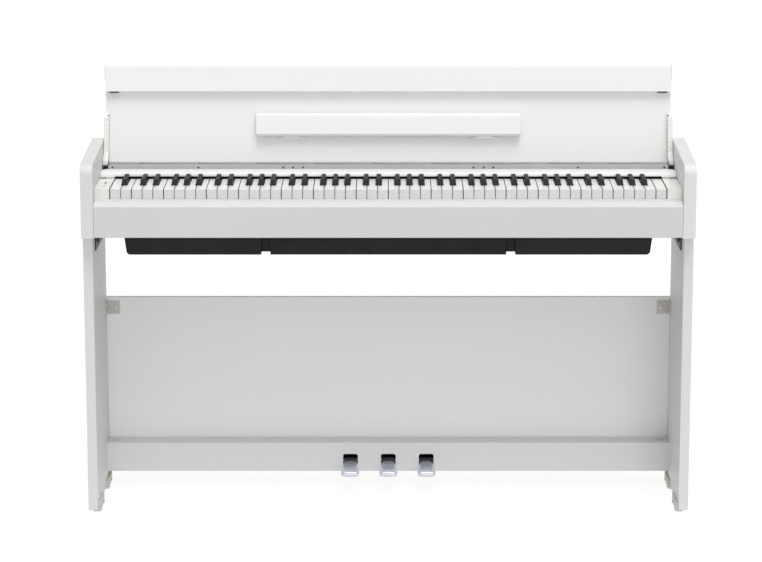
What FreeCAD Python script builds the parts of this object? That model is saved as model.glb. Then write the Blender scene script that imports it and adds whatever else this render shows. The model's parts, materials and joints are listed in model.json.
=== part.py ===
import FreeCAD, Part
import os
import re

import Sketcher

# A slim digital piano on its own stand, in millimetres.
# Frame: +X to the player's right, +Y away from the player, +Z up. The origin is on the floor,
# under the middle of the whole instrument as it stands with its lid open.
# Heights (z) are counted from the floor, depths (y) from "front", the front face of the side arms.

DIMENSIONS = {
    # overall
    "front": -159.9,            # y of the side arms' front face
    "half_width": 676.5,        # outer face of a side arm
    "arm_inside": 649.0,        # inner face of a side arm
    "arm_deep": 295.0,
    "arm_bottom": 637.0,
    "arm_top": 800.0,           # at the front; the top edge climbs to the rear
    "arm_top_rear": 818.5,
    "arm_front_round": 20.0,
    "arm_rear_round": 25.0,
    # keyboard case
    "side_gap": 0.5,            # between an arm and a part beside it
    "bed_bottom": 639.0,
    "bed_thick": 12.0,
    "slip_thick": 14.0,
    "slip_front_top": 708.0,
    "slip_top": 718.5,
    "slip_bevel": 12.0,
    "slip_ridge": 21.5,         # depth of the front of the ridge beside the keys
    "slip_ridge_tall": 2.6,
    "slip_shelf": 27.3,
    "slip_lip": 12.0,           # height of the shelf's rear edge
    "slip_root": 18.0,          # from the top to the foot of the slope under the shelf
    "board_thick": 14.0,        # rear board
    "board_top": 800.0,
    "stop_in": 460.0,
    "stop_out": 500.0,
    "stop_low": 12.0,           # from the rear board's top to a stop's lower edge
    "stop_high": 2.0,
    "stop_gap": 0.3,
    # keys
    "pitch": 23.6,              # one white key with its gap
    "white_count": 52.0,
    "gap": 1.3,
    "keys_front": 28.0,
    "head": 44.0,               # depth of a white key in front of the black keys
    "keys_rear": 250.0,
    "end_tail": 30.0,           # how much shorter the wide tails of the two end keys are
    "white_top": 743.0,
    "white_lip": 720.0,         # lower edge of a white key's front face
    "lip_thick": 3.0,
    "stick_bottom": 723.0,
    "stick_top": 741.0,
    "slot": 13.8,               # room that the white keys leave for a black key
    "black_wide": 12.4,         # at its foot
    "black_taper": 1.4,         # how far each flank leans in on its way to the top
    "black_gap": 0.8,           # from the foot of a black key to the white heads
    "black_foot": 744.0,        # where the front slope starts
    "black_top": 755.5,
    "black_rear": 151.0,
    "black_slope": 9.0,
    "black_chamfer": 0.9,
    "pivot_depth": 235.0,
    "pivot_height": 733.0,
    "pivot_radius": 2.5,
    "pivot_bore": 2.56,
    # steel frame and felts of the keyboard
    "frame_inset": 1.0,         # from an end block
    "frame_front": 34.0,
    "frame_rear": 262.0,
    "frame_sheet": 3.0,
    "rear_wall": 244.0,
    "rear_wall_gap": 0.5,       # below the key sticks
    "stop_wall_near": 44.0,
    "stop_wall_far": 54.0,
    "stop_wall_top": 709.0,
    "stop_felt": 3.6,
    "felt_low": 744.2,
    "felt_tall": 4.3,
    "felt_thick": 2.4,
    # end blocks and their controls
    "block_inside": 615.5,
    "block_top": 744.0,
    "block_neck": 153.0,        # behind this depth a block is narrower
    "block_rear": 246.0,
    "rod_seat": 8.0,
    "control_at": 630.0,
    "control_deep": 8.0,
    "slot_half": 1.5,
    "slot_near": 60.0,
    "slot_far": 116.0,
    "stem_half": 1.1,
    "stem_near": 61.0,
    "stem_far": 69.0,
    "knob_half": 3.0,
    "knob_over": 1.0,
    "knob_lift": 0.4,
    "knob_tall": 3.0,
    "button_depth": 112.0,
    "button_radius": 4.0,
    "button_well": 4.3,
    "button_under": 5.5,
    "button_over": 2.0,
    # cover and hinge behind the keys
    "rail_half": 634.0,
    "rail_front": 162.0,
    "rail_step": 205.0,         # behind this depth the rail is higher
    "rail_rear": 224.0,
    "rail_bottom": 746.0,
    "rail_seat": 752.0,
    "rail_top": 764.0,
    "cover_front": 155.0,
    "cover_rear": 203.0,
    "cover_top": 757.0,
    "cover_thick": 6.0,
    "cover_lip": 745.5,
    "cover_round": 9.0,
    "cover_notch": 10.0,
    # lid: sizes across it are counted from its hinge line, with y towards its back
    "lid_lean": 13.0,           # degrees, leaning back when open
    "lid_hinge_depth": 226.0,
    "lid_hinge_height": 767.0,
    "lid_half": 645.5,
    "lid_inner": 30.0,
    "lid_outer": 44.0,
    "lid_long": 226.0,
    "pin_radius": 1.3,
    "pin_bore": 1.36,
    "pin_seat": 6.0,
    "knuckle_radius": 2.6,
    "knuckle_step": 66.6,
    "knuckle_long": 66.0,
    "leaf_thick": 1.5,
    "leaf_gap": 3.4,            # from the hinge line to the edge of a leaf
    "hinge_arm_top": 116.0,
    "hinge_arm_in": 2.5,        # from the rail's end to the arm
    "hinge_arm_out": 0.7,       # from the arm to the side arm
    # flap along the lid's front edge
    "flap_half": 645.2,
    "flap_near": 15.5,
    "flap_far": 29.5,
    "flap_free": 164.0,
    "flap_axis_y": 22.5,
    "flap_axis_z": 219.0,
    "flap_round": 6.9,
    "flap_plate": 2.5,          # thickness of the end plates that carry the flap
    "flap_plate_low": 190.0,
    "stub_long": 20.0,
    "stub_radius": 1.5,
    "stub_bore": 1.56,
    "bumper_in": 614.5,
    "bumper_out": 636.5,
    "bumper_tall": 2.5,
    # music ledge
    "ledge_half": 301.0,
    "ledge_near": 10.0,
    "ledge_far": 24.0,
    "ledge_low": 61.6,
    "ledge_high": 115.0,
    "ledge_axis_y": 22.0,
    "ledge_axis_z": 58.0,
    "ledge_round": 9.0,
    "ledge_chamfer": 5.0,
    "ledge_plate": 25.5,        # front face of the hinge plates on the lid
    "ledge_plate_tall": 29.0,
    "ledge_knuckle": 3.0,
    "ledge_hinge_at": 220.0,
    "ledge_hinge_half": 28.5,
    "ledge_knuckle_half": 19.5,
    "ledge_knuckle_gap": 0.4,
    # boxes under the keyboard
    "box_bottom": 593.0,
    "box_front": 40.0,
    "box_rear": 260.0,
    "box_wall": 9.0,
    "box_side": 16.0,
    "box_taper": 6.0,
    "box_face": 8.0,            # how far the middle of the middle box stands forward
    "speaker_in": 282.0,
    "speaker_out": 586.0,
    "centre_half": 261.5,
    "bridge_bottom": 598.0,
    "bridge_gap": 0.5,
    "speaker_hole": 46.0,
    "speaker_at": 430.0,
    "speaker_depth": 150.0,
    "flange_over": 8.0,
    "flange_thick": 2.5,
    "basket_tall": 14.0,
    "jack_plate": 2.0,
    "jack_height": 618.0,
    "board_lift": 3.0,
    "board_sheet": 1.6,
    # stand
    "bracket_sheet": 3.0,
    "bracket_near": 80.0,
    "bracket_long": 150.0,
    "bracket_low": 594.0,
    "bracket_reach": 24.0,      # under the key bed
    "leg_inside": 655.0,
    "leg_front": 31.0,
    "leg_rear": 305.0,
    "leg_bottom": 5.0,
    "panel_front": 301.0,
    "panel_thick": 12.0,
    "panel_top": 438.0,
    "corner_low": 398.0,
    "corner_size": 31.0,
    "corner_deep": 28.0,
    "corner_sheet": 2.0,
    "screw_tall": 1.4,
    "face_screw_in": 21.0,      # from a leg to the screw in the panel
    "face_screw_radius": 3.4,
    "side_screw_deep": 18.0,
    "side_screw_radius": 3.2,
    "side_screw_low": 403.0,
    "side_screw_high": 423.0,
    "foot_wide": 15.0,
    "foot_deep": 85.0,
    "foot_flange": 5.0,
    "foot_tall": 15.0,
    "foot_near": 38.0,
    "foot_far": 215.0,
    "pedal_box_front": 247.0,
    "pedal_box_low": 34.0,
    "pedal_box_high": 102.0,
    "pedal_board": 12.0,
    "pedal_floor": 4.0,
    "ear_half": 8.0,
    "cap_at": 635.5,
    "cap_depth": 274.0,
    "cap_radius": 9.0,
    "cap_tall": 1.6,
    # pedals
    "pedal_step": 88.3,
    "pedal_nose": 172.0,
    "pedal_rear": 294.0,
    "pedal_low": 45.0,
    "pedal_high": 54.5,
    "nose_low": 39.0,
    "nose_half": 13.0,
    "nose_corner": 10.0,
    "nose_deep": 26.0,
    "pedal_half_rear": 13.3,
    "pedal_half_front": 21.0,
    "pedal_opening_half": 17.2,
    "pedal_opening_top": 75.0,
    "pedal_opening_round": 5.0,
    "pedal_axis_depth": 286.0,
    "pedal_axis_height": 50.0,
    "pedal_rod": 2.5,
    "pedal_bore": 2.56,
    "pedal_rod_half": 134.0,
    "ear_inner": 42.0,
    "ear_outer": 126.0,
    "pedal_round": 5.0,
}

# White keys by note: left and right cut-outs beside the black keys are worked out from the
# centres of the black keys, counted from the line between their two white neighbours.
BLACK_NOTES = {          # first line between white keys, offset of the centre, how many
    "a_sharp": (1, 3.3, 8),
    "c_sharp": (3, -2.4, 7),
    "d_sharp": (4, 2.4, 7),
    "f_sharp": (6, -3.3, 7),
    "g_sharp": (7, 0.0, 7),
}
WHITE_NOTES = {          # first white key, black neighbour on the left, on the right, how many
    "a": (0, "g_sharp", "a_sharp", 8),
    "b": (1, "a_sharp", None, 8),
    "c": (2, None, "c_sharp", 8),
    "d": (3, "c_sharp", "d_sharp", 7),
    "e": (4, "d_sharp", None, 7),
    "f": (5, None, "f_sharp", 7),
    "g": (6, "f_sharp", "g_sharp", 7),
}
OCTAVE = 7               # white keys from one note to the next of the same name

doc = FreeCAD.newDocument("digital_piano")
sheet = doc.addObject("Spreadsheet::Sheet", "dim")
for row, (alias, value) in enumerate(DIMENSIONS.items(), start=1):
    sheet.set(f"A{row}", str(value))
    sheet.setAlias(f"A{row}", alias)
doc.recompute()

NODES = []


# ---------------------------------------------------------------- helpers

def formula(text):
    """An expression in which each bare name is a cell of the sheet."""
    return re.sub(r"\b[a-z][a-z_]*\b(?!\()", r"dim.\g<0>", str(text))


def number(text):
    """The present value of a formula."""
    return float(sheet.evalExpression(formula(text)))


def bind(thing, **sizes):
    """Bind properties to formulas; a double underscore stands for a dot in the property's path."""
    for name, text in sizes.items():
        thing.setExpression(name.replace("__", "."), formula(text))


def keep(thing, label):
    """Mark an object as a sub-part with its own file."""
    thing.Label = label
    NODES.append(thing)
    return thing


def origin_item(body, role):
    return next(item for item in body.Origin.OriginFeatures if item.Role == role)


def put(thing, x="0", y="0", z="0"):
    bind(thing, Placement__Base__x=x, Placement__Base__y=y, Placement__Base__z=z)
    return thing


def lean_with_lid(body):
    """Place a body that is drawn in the lid's own frame: origin on the hinge line, z up the lid."""
    body.Placement = FreeCAD.Placement(
        FreeCAD.Vector(), FreeCAD.Rotation(FreeCAD.Vector(-1, 0, 0), number("lid_lean"))
    )
    put(body, y="front + lid_hinge_depth", z="lid_hinge_height")
    bind(body, Placement__Rotation__Angle="lid_lean")
    return body


def draw_polygon(sketch, corners):
    """A closed outline of straight edges whose corners are bound to formulas."""
    points = [FreeCAD.Vector(number(u), number(v), 0) for u, v in corners]
    count = len(points)
    for i in range(count):
        sketch.addGeometry(Part.LineSegment(points[i], points[(i + 1) % count]))
    for i in range(count):
        sketch.addConstraint(Sketcher.Constraint("Coincident", i, 2, (i + 1) % count, 1))
    for i, (u, v) in enumerate(corners):
        for kind, text in (("DistanceX", u), ("DistanceY", v)):
            at = sketch.addConstraint(Sketcher.Constraint(kind, -1, 1, i, 1, number(text)))
            sketch.setExpression(f"Constraints[{at}]", formula(text))


def draw_circle(sketch, u, v, radius):
    middle = FreeCAD.Vector(number(u), number(v), 0)
    ring = sketch.addGeometry(Part.Circle(middle, FreeCAD.Vector(0, 0, 1), number(radius)))
    for kind, text in (("DistanceX", u), ("DistanceY", v)):
        at = sketch.addConstraint(Sketcher.Constraint(kind, -1, 1, ring, 3, number(text)))
        sketch.setExpression(f"Constraints[{at}]", formula(text))
    at = sketch.addConstraint(Sketcher.Constraint("Radius", ring, number(radius)))
    sketch.setExpression(f"Constraints[{at}]", formula(radius))


def sketch_on(body, plane, outline, offset):
    """A sketch parallel to one of the body's origin planes, offset along the plane's normal."""
    sketch = body.newObject("Sketcher::SketchObject", "outline")
    sketch.AttachmentSupport = [(origin_item(body, plane), "")]
    sketch.MapMode = "FlatFace"
    bind(sketch, AttachmentOffset__Base__z=offset)
    if outline[0] == "circle":
        draw_circle(sketch, *outline[1:])
    else:
        draw_polygon(sketch, outline)
    return sketch


def pad(body, plane, outline, start, end):
    """Add material between two coordinates along the plane's axis."""
    offset = f"-({end})" if plane == "XZ_Plane" else start
    feature = body.newObject("PartDesign::Pad", "pad")
    feature.Profile = sketch_on(body, plane, outline, offset)
    bind(feature, Length=f"({end}) - ({start})")
    doc.recompute()
    return feature


def pocket(body, plane, outline, start, end):
    """Take material away between two coordinates, and make sure that some has gone."""
    before = body.Shape.Volume
    offset = f"-({start})" if plane == "XZ_Plane" else end
    feature = body.newObject("PartDesign::Pocket", "pocket")
    feature.Profile = sketch_on(body, plane, outline, offset)
    bind(feature, Length=f"({end}) - ({start})")
    doc.recompute()
    if body.Shape.Volume >= before:
        raise RuntimeError(f"a pocket in {body.Label} cuts nothing")
    return feature


def repeat(body, count, step, features=()):
    """Repeat features, or the whole body as it stands, along X."""
    pattern = body.newObject("PartDesign::LinearPattern", "pattern")
    if features:
        pattern.Originals = list(features)
    else:
        pattern.TransformMode = "Whole shape"
    pattern.Direction = (origin_item(body, "X_Axis"), [""])
    pattern.Occurrences = count
    bind(pattern, Length=f"({step}) * {count - 1}")
    body.Tip = pattern
    doc.recompute()


def near_edges(shape, spots, axes):
    """Names of the straight edges whose middle has the given coordinates on two axes."""
    names = []
    for i, edge in enumerate(shape.Edges, start=1):
        middle = edge.CenterOfMass
        for spot in spots:
            if all(abs(getattr(middle, a) - value) < 0.05 for a, value in zip(axes, spot)):
                names.append(f"Edge{i}")
    return names


def dress(body, kind, size, spots, axes="yz"):
    """Fillet or chamfer the edges that run through the given spots, in the body's own frame."""
    base = body.Tip
    places = [tuple(number(text) for text in spot) for spot in spots]
    names = near_edges(base.Shape, places, axes)
    if not names:
        raise RuntimeError(f"no edge to dress on {body.Label}")
    feature = body.newObject(f"PartDesign::{kind}", kind.lower())
    feature.Base = (base, names)
    bind(feature, **{"Radius" if kind == "Fillet" else "Size": size})
    doc.recompute()
    return feature


def new_body(label):
    return keep(doc.addObject("PartDesign::Body", label), label)


def prism(label, plane, outline, start, end):
    """A sub-part of one padded outline."""
    body = new_body(label)
    pad(body, plane, outline, start, end)
    return body


def box(label, x, y, z, wide, deep, tall):
    """A plain board: lowest corner, then sizes. Depths are counted from the front plane."""
    thing = doc.addObject("Part::Box", label)
    bind(thing, Length=wide, Width=deep, Height=tall)
    put(thing, x, f"front + {y}", z)
    return thing


def cylinder(label, x, y, z, radius, long, toward="z"):
    thing = doc.addObject("Part::Cylinder", label)
    if toward == "x":
        thing.Placement.Rotation = FreeCAD.Rotation(FreeCAD.Vector(0, 1, 0), 90)
    if toward == "y":
        thing.Placement.Rotation = FreeCAD.Rotation(FreeCAD.Vector(-1, 0, 0), 90)
    bind(thing, Radius=radius, Height=long)
    put(thing, x, f"front + {y}", z)
    return thing


def group(label, pieces):
    """Separate pieces that share one node."""
    thing = doc.addObject("Part::Compound", label)
    thing.Links = pieces
    return keep(thing, label)


def cut(label, base, tool):
    thing = doc.addObject("Part::Cut", label)
    thing.Base = base
    thing.Tool = tool
    return thing


def fuse(label, pieces):
    thing = doc.addObject("Part::MultiFuse", label)
    thing.Shapes = pieces
    return thing


def rectangle(low_u, low_v, high_u, high_v):
    return [(low_u, low_v), (high_u, low_v), (high_u, high_v), (low_u, high_v)]


def sides():
    """Left and right, each with the sign of its x."""
    return (("left", -1), ("right", 1))


def span(sign, inner, outer):
    """Start and end along X of a piece between two distances from the middle."""
    if sign > 0:
        return inner, outer
    return f"-({outer})", f"-({inner})"


# ---------------------------------------------------------------- keyboard case

def side_arm(side, sign):
    outline = [
        ("front", "arm_bottom"),
        ("front + arm_deep", "arm_bottom"),
        ("front + arm_deep", "arm_top_rear"),
        ("front", "arm_top"),
    ]
    body = prism(f"side_arm_{side}", "YZ_Plane", outline, *span(sign, "arm_inside", "half_width"))
    dress(body, "Fillet", "arm_front_round", [("front", "arm_top")])
    dress(body, "Fillet", "arm_rear_round", [("front + arm_deep", "arm_top_rear")])
    hole = ("circle", "front + lid_hinge_depth", "lid_hinge_height", "pin_radius")
    pocket(body, "YZ_Plane", hole, *span(sign, "arm_inside", "arm_inside + pin_seat"))


def case_boards():
    keep(box("key_bed", "-arm_inside", "slip_thick", "bed_bottom",
             "2 * arm_inside", "arm_deep - board_thick - slip_thick", "bed_thick"), "key_bed")
    keep(box("rear_board", "-arm_inside", "arm_deep - board_thick", "bed_bottom",
             "2 * arm_inside", "board_thick", "board_top - bed_bottom"), "rear_board")


def key_slip():
    outline = [
        ("front", "bed_bottom"),
        ("front", "slip_front_top"),
        ("front + slip_bevel", "slip_top"),
        ("front + slip_ridge", "slip_top"),
        ("front + slip_ridge", "slip_top + slip_ridge_tall"),
        ("front + slip_shelf", "slip_top + slip_ridge_tall"),
        ("front + slip_shelf", "slip_top - slip_lip"),
        ("front + slip_thick", "slip_top - slip_root"),
        ("front + slip_thick", "bed_bottom"),
    ]
    prism("key_slip", "YZ_Plane", outline, "-arm_inside + side_gap", "arm_inside - side_gap")


def lid_stops():
    """Rubber pads on the rear board that the open lid leans against."""
    body = new_body("lid_stops")
    board = "front + arm_deep - board_thick"
    low = "board_top - stop_low"
    high = "board_top - stop_high"
    outline = [(board, low), (board, high), (behind_lid(high), high), (behind_lid(low), low)]
    pad(body, "YZ_Plane", outline, "-stop_out", "-stop_in")
    repeat(body, 2, "stop_out + stop_in")


def behind_lid(height):
    """y just behind the open lid's back, at a height."""
    back = "front + lid_hinge_depth + lid_outer / cos(lid_lean)"
    return f"{back} + ({height} - lid_hinge_height) * tan(lid_lean) + stop_gap"


def hinge_rail():
    """Rail across the case: its low front carries the cover, its high rear the lid's hinge."""
    outline = [
        ("front + rail_front", "rail_bottom"),
        ("front + rail_rear", "rail_bottom"),
        ("front + rail_rear", "rail_top"),
        ("front + rail_step", "rail_top"),
        ("front + rail_step", "rail_seat"),
        ("front + rail_front", "rail_seat"),
    ]
    prism("hinge_rail", "YZ_Plane", outline, "-rail_half", "rail_half")


def rear_cover():
    outline = [
        ("front + cover_front", "cover_lip"),
        ("front + cover_front", "cover_top"),
        ("front + cover_rear", "cover_top"),
        ("front + cover_rear", "rail_seat"),
        ("front + cover_front + cover_thick", "rail_seat"),
        ("front + cover_front + cover_thick", "cover_lip"),
    ]
    end = "arm_inside - side_gap"
    body = prism("rear_cover", "YZ_Plane", outline, f"-({end})", end)
    dress(body, "Fillet", "cover_round", [("front + cover_front", "cover_top")])
    rear = "front + cover_rear"
    dress(body, "Chamfer", "cover_notch", [(f"-({end})", rear), (end, rear)], "xy")


def end_block(side, sign):
    """Plastic block beside the keys; its narrow rear part carries the hinge rail and key rod."""
    body = new_body(f"end_block_{side}")
    floor = "bed_bottom + bed_thick"
    start, end = span(sign, "block_inside", "arm_inside - side_gap")
    front_part = rectangle(start, "front + keys_front", end, "front + block_neck")
    pad(body, "XY_Plane", front_part, floor, "block_top")
    start, end = span(sign, "block_inside", "rail_half")
    rear_part = rectangle(start, "front + block_neck", end, "front + block_rear")
    pad(body, "XY_Plane", rear_part, floor, "block_top")
    seat = rectangle(start, "front + rail_front", end, "front + block_rear")
    pad(body, "XY_Plane", seat, "block_top", "rail_bottom")
    rod = ("circle", "front + pivot_depth", "pivot_height", "pivot_radius")
    pocket(body, "YZ_Plane", rod, *span(sign, "block_inside", "block_inside + rod_seat"))
    if side == "left":
        well = rectangle("-control_at - slot_half", "front + slot_near",
                         "-control_at + slot_half", "front + slot_far")
    else:
        well = ("circle", "control_at", "front + button_depth", "button_well")
    pocket(body, "XY_Plane", well, "block_top - control_deep", "block_top")


def controls():
    """Volume slider in the left block, power button in the right one."""
    slider = new_body("volume_slider")
    stem = rectangle("-control_at - stem_half", "front + stem_near",
                     "-control_at + stem_half", "front + stem_far")
    pad(slider, "XY_Plane", stem, "block_top - control_deep + 1", "block_top + knob_lift")
    knob = rectangle("-control_at - knob_half", "front + stem_near - knob_over",
                     "-control_at + knob_half", "front + stem_far + knob_over")
    pad(slider, "XY_Plane", knob, "block_top + knob_lift", "block_top + knob_lift + knob_tall")
    keep(cylinder("power_button", "control_at", "button_depth", "block_top - button_under",
                  "button_radius", "button_under + button_over"), "power_button")


# ---------------------------------------------------------------- keys

def key_chassis():
    """Steel frame under the keys, with a wall for the front stops and one for the rear stops."""
    floor = "bed_bottom + bed_thick"
    sheet_top = f"{floor} + frame_sheet"
    wall_top = "stick_bottom - rear_wall_gap"
    outline = [
        ("front + frame_front", floor),
        ("front + frame_rear", floor),
        ("front + frame_rear", wall_top),
        ("front + rear_wall", wall_top),
        ("front + rear_wall", sheet_top),
        ("front + stop_wall_far", sheet_top),
        ("front + stop_wall_far", "stop_wall_top"),
        ("front + stop_wall_near", "stop_wall_top"),
        ("front + stop_wall_near", sheet_top),
        ("front + frame_front", sheet_top),
    ]
    low = "-block_inside + frame_inset"
    wide = "2 * (block_inside - frame_inset)"
    prism("key_chassis", "YZ_Plane", outline, low, "block_inside - frame_inset")
    keep(box("key_stop_felt", low, "stop_wall_near", "stop_wall_top",
             wide, "stop_wall_far - stop_wall_near", "stop_felt"), "key_stop_felt")
    keep(cylinder("key_pivot_rod", "-block_inside - rod_seat", "pivot_depth", "pivot_height",
                  "pivot_radius", "2 * (block_inside + rod_seat)", "x"), "key_pivot_rod")
    keep(box("key_felt", low, "cover_front - felt_thick", "felt_low",
             wide, "felt_thick", "felt_tall"), "key_felt")


def line_at(index):
    """x of the line before the white key of this index."""
    return f"({index} - white_count / 2) * pitch"


def bore_for_rod(body, start, end):
    rod = ("circle", "front + pivot_depth", "pivot_height", "pivot_bore")
    pocket(body, "YZ_Plane", rod, start, end)


def white_keys(note, first, left, right, count):
    """All keys of one note: a full-width head, and a tail that passes between the black keys."""
    body = new_body(f"white_keys_{note}")
    low = f"{line_at(first)} + gap / 2"
    high = f"{line_at(first + 1)} - gap / 2"
    tail_low = low
    tail_high = high
    if left:
        tail_low = f"{line_at(first)} + {BLACK_NOTES[left][1]} + slot / 2"
    if right:
        tail_high = f"{line_at(first + 1)} + {BLACK_NOTES[right][1]} - slot / 2"
    near = "front + keys_front"
    middle = "front + keys_front + head"
    far = "front + keys_rear"
    outline = [(low, near), (high, near), (high, middle)]
    if right:
        outline.append((tail_high, middle))
    outline += [(tail_high, far), (tail_low, far)]
    if left:
        outline.append((tail_low, middle))
    outline.append((low, middle))
    pad(body, "XY_Plane", outline, "stick_bottom", "white_top")
    lip = rectangle(low, near, high, f"{near} + lip_thick")
    pad(body, "XY_Plane", lip, "white_lip", "stick_bottom")
    bore_for_rod(body, low, high)
    repeat(body, count, f"{OCTAVE} * pitch")
    end_far = "front + keys_rear - end_tail"
    if note == "a":
        side = rectangle(low, middle, tail_low, end_far)
        pad(body, "XY_Plane", side, "stick_bottom", "white_top")
    if note == "c":
        last = f"{OCTAVE * (count - 1)} * pitch"
        side = rectangle(f"{tail_high} + {last}", middle, f"{high} + {last}", end_far)
        pad(body, "XY_Plane", side, "stick_bottom", "white_top")


def black_keys(note, line, offset, count):
    """All keys of one note: a tapered cap with a sloping front, on a long stick."""
    body = new_body(f"black_keys_{note}")
    foot = "front + keys_front + head + black_gap"
    outline = [
        (foot, "stick_bottom"),
        (foot, "black_foot"),
        (f"{foot} + black_slope", "black_top"),
        ("front + black_rear", "black_top"),
        ("front + black_rear", "stick_top"),
        ("front + keys_rear", "stick_top"),
        ("front + keys_rear", "stick_bottom"),
    ]
    low = f"{line_at(line)} + {offset} - black_wide / 2"
    high = f"{line_at(line)} + {offset} + black_wide / 2"
    pad(body, "YZ_Plane", outline, low, high)
    bore_for_rod(body, low, high)
    crests = []
    for foot_x, inward in ((low, 1), (high, -1)):
        crest = f"{foot_x} + {inward} * black_taper"
        wedge = [(foot_x, "black_foot"), (crest, "black_top"), (foot_x, "black_top")]
        pocket(body, "XZ_Plane", wedge, foot, "front + black_rear")
        crests.append((crest, "black_top"))
    dress(body, "Chamfer", "black_chamfer", crests, "xz")
    repeat(body, count, f"{OCTAVE} * pitch")


# ---------------------------------------------------------------- lid

def hinge_knuckles(body, first_x, count, tongue):
    """Knuckles of a long hinge, each with a tongue to its leaf, and a bore for the pin."""
    start = first_x
    end = f"{first_x} + knuckle_long"
    barrel = pad(body, "YZ_Plane", ("circle",) + tongue[0] + ("knuckle_radius",), start, end)
    strip = pad(body, "YZ_Plane", tongue[1], start, end)
    repeat(body, count, "2 * knuckle_step", [barrel, strip])
    hole = ("circle",) + tongue[0] + (tongue[2],)
    pocket(body, "YZ_Plane", hole, "-half_width", "half_width")


def fixed_leaf():
    """Angled leaf over the front and the top of the rail's high part."""
    body = new_body("hinge_leaf_fixed")
    rear = "front + lid_hinge_depth - leaf_gap"
    top = "rail_top + leaf_thick"
    outline = [
        ("front + rail_step - leaf_thick", "rail_seat"),
        ("front + rail_step", "rail_seat"),
        ("front + rail_step", "rail_top"),
        (rear, "rail_top"),
        (rear, top),
        ("front + rail_step - leaf_thick", top),
    ]
    pad(body, "YZ_Plane", outline, "-rail_half", "rail_half")
    centre = ("front + lid_hinge_depth", "lid_hinge_height")
    bridge = rectangle(f"{rear} - 0.5", "rail_top + 0.4", "front + lid_hinge_depth - 1", top)
    hinge_knuckles(body, "-9.5 * knuckle_step", 10, (centre, bridge, "pin_radius"))


def moving_leaf():
    body = new_body("hinge_leaf_moving")
    leaf = rectangle("leaf_gap", "-leaf_thick", "lid_outer - 2", "0")
    pad(body, "YZ_Plane", leaf, "-rail_half", "rail_half")
    bridge = rectangle("1", "-leaf_thick", "leaf_gap + 0.5", "-0.2")
    hinge_knuckles(body, "-8.5 * knuckle_step", 9, (("0", "0"), bridge, "pin_bore"))
    lean_with_lid(body)


def hinge_pin():
    keep(cylinder("hinge_pin", "-arm_inside - pin_seat", "lid_hinge_depth", "lid_hinge_height",
                  "pin_radius", "2 * (arm_inside + pin_seat)", "x"), "hinge_pin")


def lid_panel():
    outline = rectangle("lid_inner", "0", "lid_outer", "lid_long")
    lean_with_lid(prism("lid_panel", "YZ_Plane", outline, "-lid_half", "lid_half"))


def hinge_arm(side, sign):
    """Moulded arm on the lid's inner face that turns on the end of the hinge pin."""
    outline = [
        ("-6", "-4"),
        ("-6", "5"),
        ("12", "26"),
        ("16", "104"),
        ("21", "hinge_arm_top"),
        ("lid_inner", "hinge_arm_top"),
        ("lid_inner", "1"),
        ("8", "-7"),
        ("-3", "-7"),
    ]
    start, end = span(sign, "rail_half + hinge_arm_in", "arm_inside - hinge_arm_out")
    body = prism(f"hinge_arm_{side}", "YZ_Plane", outline, start, end)
    pocket(body, "YZ_Plane", ("circle", "0", "0", "pin_bore"), start, end)
    lean_with_lid(body)


def flap_brackets():
    """End plates that carry the flap on short stub pins."""
    body = new_body("flap_brackets")
    outline = [
        ("flap_near", "flap_plate_low"),
        ("flap_near", "lid_long"),
        ("lid_outer", "lid_long"),
        ("lid_outer", "flap_plate_low"),
    ]
    stub = ("circle", "flap_axis_y", "flap_axis_z", "stub_radius")
    for _, sign in sides():
        pad(body, "YZ_Plane", outline, *span(sign, "lid_half", "lid_half + flap_plate"))
        pad(body, "YZ_Plane", stub, *span(sign, "lid_half - stub_long", "lid_half"))
    dress(body, "Fillet", "flap_round", [("flap_near", "lid_long")])
    lean_with_lid(body)


def lid_flap():
    outline = rectangle("flap_near", "flap_free", "flap_far", "lid_long")
    body = prism("lid_flap", "YZ_Plane", outline, "-flap_half", "flap_half")
    dress(body, "Fillet", "flap_round", [("flap_near", "lid_long"), ("flap_far", "lid_long")])
    hole = ("circle", "flap_axis_y", "flap_axis_z", "stub_bore")
    for _, sign in sides():
        pocket(body, "YZ_Plane", hole, *span(sign, "flap_half - stub_long - 1", "flap_half"))
    lean_with_lid(body)


def flap_bumpers():
    body = new_body("flap_bumpers")
    outline = [
        ("flap_near + 2.5", "flap_free"),
        ("flap_near + 3.2", "flap_free - bumper_tall"),
        ("flap_far - 3.2", "flap_free - bumper_tall"),
        ("flap_far - 2.5", "flap_free"),
    ]
    pad(body, "YZ_Plane", outline, "-bumper_out", "-bumper_in")
    repeat(body, 2, "bumper_out + bumper_in")
    lean_with_lid(body)


def ledge_hinges():
    """Two blocks on the lid, each with two lugs and a pin that the ledge folds down on."""
    body = new_body("ledge_hinges")
    start = "-ledge_hinge_at - ledge_hinge_half"
    end = "-ledge_hinge_at + ledge_hinge_half"
    low_z = "ledge_axis_z - ledge_knuckle"
    plate = rectangle("ledge_plate", low_z, "lid_inner", f"{low_z} + ledge_plate_tall")
    pad(body, "YZ_Plane", plate, start, end)
    lugs = ((start, "-ledge_hinge_at - ledge_knuckle_half - ledge_knuckle_gap"),
            ("-ledge_hinge_at + ledge_knuckle_half + ledge_knuckle_gap", end))
    axis = ("ledge_axis_y", "ledge_axis_z")
    web = rectangle("ledge_axis_y", low_z, "ledge_plate", "ledge_axis_z + ledge_knuckle")
    for low, high in lugs:
        pad(body, "YZ_Plane", web, low, high)
        pad(body, "YZ_Plane", ("circle",) + axis + ("ledge_knuckle",), low, high)
    pad(body, "YZ_Plane", ("circle",) + axis + ("stub_radius",), start, end)
    repeat(body, 2, "2 * ledge_hinge_at")
    lean_with_lid(body)


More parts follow.
